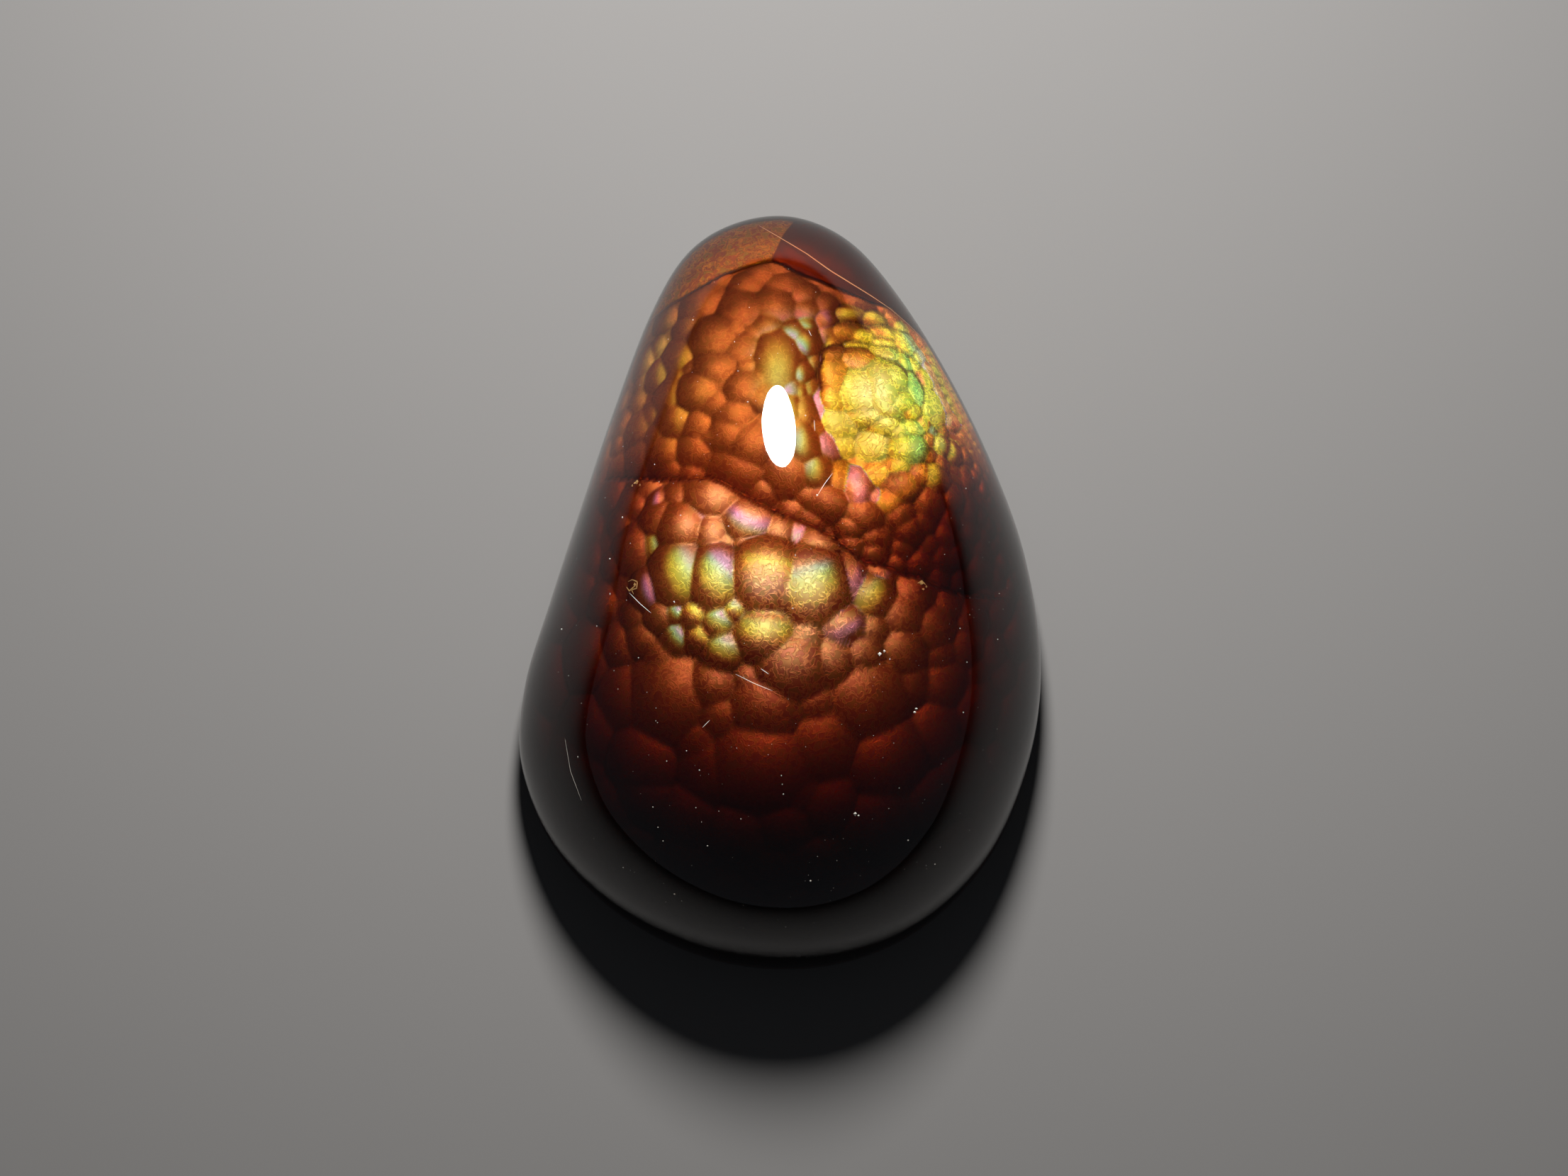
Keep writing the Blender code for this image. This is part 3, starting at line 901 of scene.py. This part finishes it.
def make_layer():
    """The bubbly sheet, with its colours stored on its points, and the dark body under it.

    The sheet's rows lie closer together towards its edge, where the dome is steep. A bubble that
    would come too near the skin is flattened to fit: height / (1 + (height / room)**8)**(1 / 8).
    """
    share, angle, faces, rim = disc_grid(LAYER_RINGS)
    edge = SUMMIT + LAYER_EDGE * (girdle(angle) - SUMMIT)
    spread = (share * (1.15 - 0.15 * share**2))[:, None]
    x, y = (SHEET_CENTRE + spread * (edge - SHEET_CENTRE)).T
    place, inside, normal = looking_down(x, y)
    depth = layer_depth(x, y)[:, None]
    base = place + depth * inside
    height, fire, film = bubble_field(base, x, y)
    room = -np.sum(inside * normal, axis=1) * depth[:, 0] - SKIN_GAP
    height = np.maximum(height * (1 - over_roof(x, y)), 0.0)
    height /= (1 + (height / room) ** 8) ** (1 / 8)
    top = base + height[:, None] * normal
    t = (np.arange(1, LAYER_ROWS + 1) / LAYER_ROWS)[:, None, None]
    swell = stone_side(np.zeros(rim.size), angle[rim]) * (0.975, 0.975, 0.9)
    low = stone_side(np.ones(rim.size), angle[rim]) * (0.95, 0.95, 0) + (0, 0, SKIN_GAP)
    wall = (1 - t) ** 2 * top[rim] + 2 * t * (1 - t) * swell + t**2 * low
    mesh = closed_mesh("fire_layer", top, faces, rim, wall)
    shown = np.tile([*linear(DARK_JASPER), 0.0], (len(mesh.vertices), 1))
    facet, hollow = relief(top, 2 * LAYER_RINGS + 1)
    shown[: len(top)] = tint(x, y, fire, film, facet, hollow, inside, normal)
    stored = mesh.attributes.new("tint", "FLOAT_COLOR", "POINT")
    stored.data.foreach_set("color", shown.astype(np.float32).ravel())
    body = mesh.attributes.new("body", "FLOAT", "POINT")
    body.data.foreach_set("value", (np.arange(len(mesh.vertices)) >= len(top)).astype(np.float32))
    return mesh


# %% Iron oxide film
def fire_film():
    material, tree, out = empty_material("iridescent_iron_oxide")
    where = node(tree, "ShaderNodeTexCoord").outputs["Object"]
    wrinkle = node(
        tree, "ShaderNodeTexNoise", Vector=where, Scale=5500.0, Detail=1.0, Distortion=1.0,
    ).outputs["Fac"]
    off_ridge = node(tree, "ShaderNodeMath", {"operation": "SUBTRACT"}, _0=wrinkle, _1=0.5)
    ridge = node(tree, "ShaderNodeMath", {"operation": "ABSOLUTE"}, _0=off_ridge.outputs[0])
    stored = node(tree, "ShaderNodeAttribute", {"attribute_name": "tint"}).outputs
    # Below the layer's rim the body has level bands of dark and brown jasper, 0.3 to 0.8 mm thick.
    jasper = banded(tree, where, "Z", 260.0, 3.0, DARK_JASPER, BROWN_JASPER)
    body = node(tree, "ShaderNodeAttribute", {"attribute_name": "body"}).outputs["Fac"]
    # The film is crinkled like foil, in ridges about 0.1 mm apart: a bump, with painted highlights on
    # the ridges and painted shade between them.
    shaded = node(
        tree, "ShaderNodeHueSaturation", Fac=stored["Alpha"],
        Color=mixed(tree, body, stored["Color"], jasper),
        Hue=ranged(tree, wrinkle, 0.3, 0.7, 0.475, 0.525),
        Value=ranged(tree, ridge.outputs[0], 0.0, 0.08, 1.45, 0.72),
    )
    bump = node(
        tree, "ShaderNodeBump", Height=ranged(tree, ridge.outputs[0], 0.0, 0.08, 1, 0),
        Distance=0.00001, Strength=stored["Alpha"],
    )
    # The iron oxide mirrors light softly, like metal leaf. Clear chalcedony covers it, with nearly
    # the same index, so it has no white gloss of its own: metallic 0.65, specular level 0.
    principled(
        tree, out, Base_Color=shaded.outputs["Color"], Metallic=0.65, Roughness=0.48,
        Specular_IOR_Level=0.0, Normal=bump.outputs["Normal"],
    )
    return material


piece(make_layer(), fire_film())

# %% [markdown]
# ## Fracture, scratches and dust
#
# The photograph shows a healed fracture that runs through the clear tip along the roof line, a few
# scratches and lint threads, two dull yellow inclusions, and specks of dust on the polish. The
# threads are thin tapered tubes along a line, and the specks are small lumps with eight faces.

# %% Threads and specks
THREAD_SIDES = 6


def under_skin(line, depth):
    """Points of a line of x, y on the dome, depth millimetres down the line of sight."""
    place, inside, _ = looking_down(*np.array(line, dtype=float).T)
    return place + depth * inside


def thread(line, depth, radius, steps=14):
    """A tube along a line: rings round even steps of it, with radius * sin(pi * share)**0.5."""
    line = np.array(line, dtype=float)
    along = np.concatenate([[0], np.cumsum(np.hypot(*np.diff(line, axis=0).T))])
    even = np.linspace(0, along[-1], steps)
    points = under_skin(np.stack([np.interp(even, along, part) for part in line.T], axis=-1), depth)
    ahead = np.gradient(points, axis=0)
    side = unit(np.cross(ahead, (0, 0, 1)))
    up = unit(np.cross(side, ahead))
    thick = radius * np.sin(np.pi * np.linspace(0.02, 0.98, steps)) ** 0.5
    turn = np.arange(THREAD_SIDES) / THREAD_SIDES * math.tau
    ring = np.cos(turn)[:, None] * side[:, None] + np.sin(turn)[:, None] * up[:, None]
    rings = points[:, None] + thick[:, None, None] * ring
    number = np.arange(steps * THREAD_SIDES).reshape(steps, THREAD_SIDES)
    ends = [number[0, ::-1].tolist(), number[-1].tolist()]
    return rings.reshape(-1, 3), wall_faces(number)[:, ::-1].tolist() + ends


def speck(x, y, depth, radius):
    """A lump with six corners, each at its own random distance from the middle."""
    corners = np.concatenate([np.eye(3), -np.eye(3)]) * rng.uniform(0.5, 1.3, (6, 1)) * radius
    pairs = [(0, 1), (1, 3), (3, 4), (4, 0)]
    faces = [(a, b, 2) for a, b in pairs] + [(b, a, 5) for a, b in pairs]
    return under_skin([(x, y)], depth) + corners, faces


def joined(name, parts):
    """One mesh from several lists of points and faces."""
    points, faces, count = [], [], 0
    for part_points, part_faces in parts:
        faces += [[count + k for k in face] for face in part_faces]
        points.append(part_points)
        count += len(part_points)
    mesh = bpy.data.meshes.new(name)
    mesh.from_pydata(np.concatenate(points) * MM, [], faces)
    return mesh


# %% Fracture
FRACTURE = [
    (-0.58, 10.17), (0.03, 9.79), (0.72, 9.36), (1.39, 8.87), (1.96, 8.52), (2.54, 8.17),
    (3.06, 7.83), (3.58, 7.40), (4.01, 6.99),
]
# Healed by chalcedony that is milky with tiny pores, so it scatters light: pale and matt
fracture = joined("healed_fracture", [thread(FRACTURE, 0.16, 0.022, 40)])
piece(fracture, matt("milky_healed_fracture", "#C08A5A", 0.7))

# %% Inclusions
CURLS = [
    [(-4.14, 0.30), (-4.02, 0.36), (-3.88, 0.30), (-3.90, 0.12), (-4.04, 0.08), (-3.98, -0.04)],
    [(-4.18, 0.16), (-4.10, 0.05), (-3.96, 0.18)],
    [(3.74, 0.26), (3.86, 0.32), (3.96, 0.22)],
]
LUMPS = [
    (3.84, 0.25, 0.08), (3.98, 0.16, 0.05), (3.90, 0.10, 0.04), (-3.95, 0.22, 0.05),
    (-3.90, 3.03, 0.07), (-4.03, 2.92, 0.05), (-3.82, 2.94, 0.04), (-3.96, 2.99, 0.05),
]
inclusions = [thread(curl, 0.10, 0.018, 20) for curl in CURLS]
inclusions += [speck(x, y, 0.08, radius) for x, y, radius in LUMPS]
# Earthy limonite that was caught in the skin: dull yellow, without gloss
piece(joined("inclusions", inclusions), matt("earthy_limonite", "#B48F55", 0.9))

# %% Scratches and dust
SCRATCHES = [
    [(1.02, 2.65), (1.22, 2.97), (1.43, 3.25)], [(0.93, 4.70), (0.95, 4.40)],
    [(-4.10, 0.00), (-3.80, -0.30), (-3.50, -0.55)], [(-1.20, -2.20), (-0.70, -2.45), (-0.20, -2.65)],
    [(-2.10, -3.65), (-1.90, -3.45)], [(-0.52, -2.05), (-0.30, -2.20)], [(0.78, 7.18), (0.86, 7.02)],
]
SPECKS = [
    (2.70, -1.65, 0.05), (2.82, -1.58, 0.04), (2.98, -1.80, 0.03), (3.70, -3.15, 0.05),
    (3.66, -3.25, 0.04), (2.05, -6.00, 0.06), (2.14, -6.06, 0.04), (-0.88, 5.20, 0.03),
    (-1.15, 6.05, 0.03), (-6.00, -1.00, 0.03), (1.00, 2.65, 0.04), (-2.70, 2.10, 0.03),
    (0.42, 1.02, 0.03),
]
threads = [thread(line, 0.0, 0.008) for line in SCRATCHES]
threads.append(thread([(-5.90, -4.00), (-5.75, -4.90), (-5.45, -5.70)], 0.0, 0.0035, 24))
dust = [speck(x, y, 0.0, radius) for x, y, radius in SPECKS]
for x, y in rng.uniform((-7, -10), (7, 10), (420, 2)):
    if share_out(x, y) < 0.9:
        dust.append(speck(x, y, 0.0, 0.007 + 0.022 * rng.random() ** 4))
print(len(dust), "specks of dust")
# Lint and polishing dust: dry, whitish and matt against the polish
piece(joined("scratches_and_dust", threads + dust), matt("whitish_dust", "#B4ADA2", 0.9))

# %% [markdown]
# ## Floor, light and camera
#
# The stone lies on a plain pale floor. One soft lamp beyond the tip gives the long bright
# reflection on the dome, and a weak even light fills the shadows.

# %% Floor
FLOOR_HALF = 0.6


def make_floor():
    mesh = bpy.data.meshes.new("floor")
    corners = [(-1, -1), (1, -1), (1, 1), (-1, 1)]
    mesh.from_pydata([(FLOOR_HALF * x, FLOOR_HALF * y, 0) for x, y in corners], [], [(0, 1, 2, 3)])
    # Plain uncoated card, matt, which the close lamp lights to a pale grey
    mesh.materials.append(matt("pale_card", "#686664", 0.9))
    add_object("floor", mesh)


make_floor()

# %% Light
LAMP_AIM = np.array((0.0, 4.7, 7.0)) * MM
LAMP_AWAY = 0.06
LAMP_WIDTH = math.radians(13.3)
LAMP_HEIGHT = math.radians(18.6)
LAMP_ROLL = math.radians(11)
LAMP_WATTS = 0.12
HORIZON_LIGHT, OVERHEAD_LIGHT = 0.08, 0.05


def make_lamp():
    """An oval lamp, whose width and height are 2 * tan(half its angle) times its distance.

    It hangs close over the tip, so its light falls off towards the stone's wide end.
    """
    data = bpy.data.lights.new("key_lamp", "AREA")
    data.shape = "ELLIPSE"
    data.size = 2 * LAMP_AWAY * math.tan(LAMP_WIDTH / 2)
    data.size_y = 2 * LAMP_AWAY * math.tan(LAMP_HEIGHT / 2)
    data.energy = LAMP_WATTS
    lamp = add_object("key_lamp", data)
    lamp.location = Vector(LAMP_AIM + LAMP_AWAY * TO_LAMP)
    turned = Vector(TO_LAMP).to_track_quat("Z", "Y") @ Quaternion((0, 0, 1), LAMP_ROLL)
    lamp.rotation_euler = turned.to_euler()


def make_world():
    """Even light from all round, somewhat stronger near the horizon than overhead."""
    world = bpy.data.worlds.new("studio")
    bpy.context.scene.world = world
    world.use_nodes = True
    tree = world.node_tree
    towards = node(tree, "ShaderNodeTexCoord").outputs["Generated"]
    up = node(tree, "ShaderNodeSeparateXYZ", Vector=towards).outputs["Z"]
    even = tree.nodes["Background"].inputs
    even["Color"].default_value = colour("#E6EDFA")
    tree.links.new(ranged(tree, up, 0, 0.7, HORIZON_LIGHT, OVERHEAD_LIGHT), even["Strength"])


make_lamp()
make_world()

# %% Camera
IMAGE_WIDTH = 2212
PIXELS_PER_MM = 50.67
VIEW_CENTRE = (0.11, 0.13)


def make_camera():
    """Straight above, as far away as a 180 mm lens needs to see the image's width."""
    data = bpy.data.cameras.new("camera")
    data.lens = 180
    data.sensor_width = 36
    data.clip_start = 0.005
    away = IMAGE_WIDTH / PIXELS_PER_MM * data.lens / data.sensor_width + GIRDLE_HEIGHT
    camera = add_object("camera", data)
    camera.location = Vector((*VIEW_CENTRE, away)) * MM
    bpy.context.scene.camera = camera


make_camera()
bpy.context.scene.view_settings.view_transform = "Standard"
